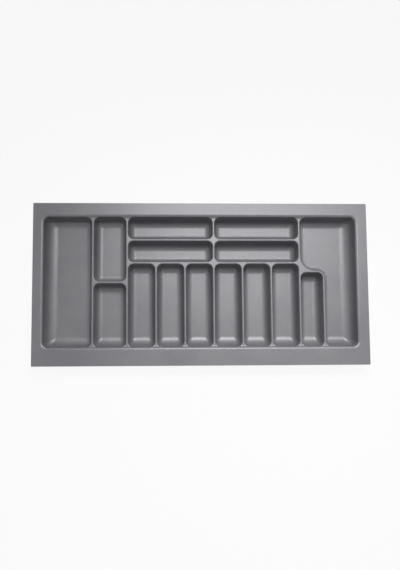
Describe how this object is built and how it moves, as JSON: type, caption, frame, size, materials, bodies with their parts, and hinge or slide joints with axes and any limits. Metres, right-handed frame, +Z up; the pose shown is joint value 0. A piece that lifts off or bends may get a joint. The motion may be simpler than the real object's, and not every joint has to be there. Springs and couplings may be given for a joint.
{
  "type": "drawer cutlery tray",
  "caption": "Wide vacuum-formed cutlery tray for a kitchen drawer: a flat flange round rows of tapered compartments, with an L-shaped bay at one end.",
  "frame": {"origin": "centre of the flange's outline, on the surface the pads stand on", "axes": "+X along the tray's length, across the drawer; +Y to the drawer's back; +Z up, out of the compartments"},
  "size_m": [1.09, 0.53, 0.0555],
  "materials": {
    "tray_plastic": "satin metallic grey, finely grained",
    "pad_rubber": "soft matt black"
  },
  "bodies": {
    "root": {"tray_shell": "tray_plastic", "pad_wide_bin_front": "pad_rubber", "pad_wide_bin_back": "pad_rubber", "pad_short_bin_front": "pad_rubber", "pad_short_bin_back": "pad_rubber", "pad_third_slot_front": "pad_rubber", "pad_third_slot_back": "pad_rubber", "pad_sixth_slot_front": "pad_rubber", "pad_sixth_slot_back": "pad_rubber", "pad_side_bay_front": "pad_rubber", "pad_side_bay_back": "pad_rubber"}
  },
  "joints": []
}
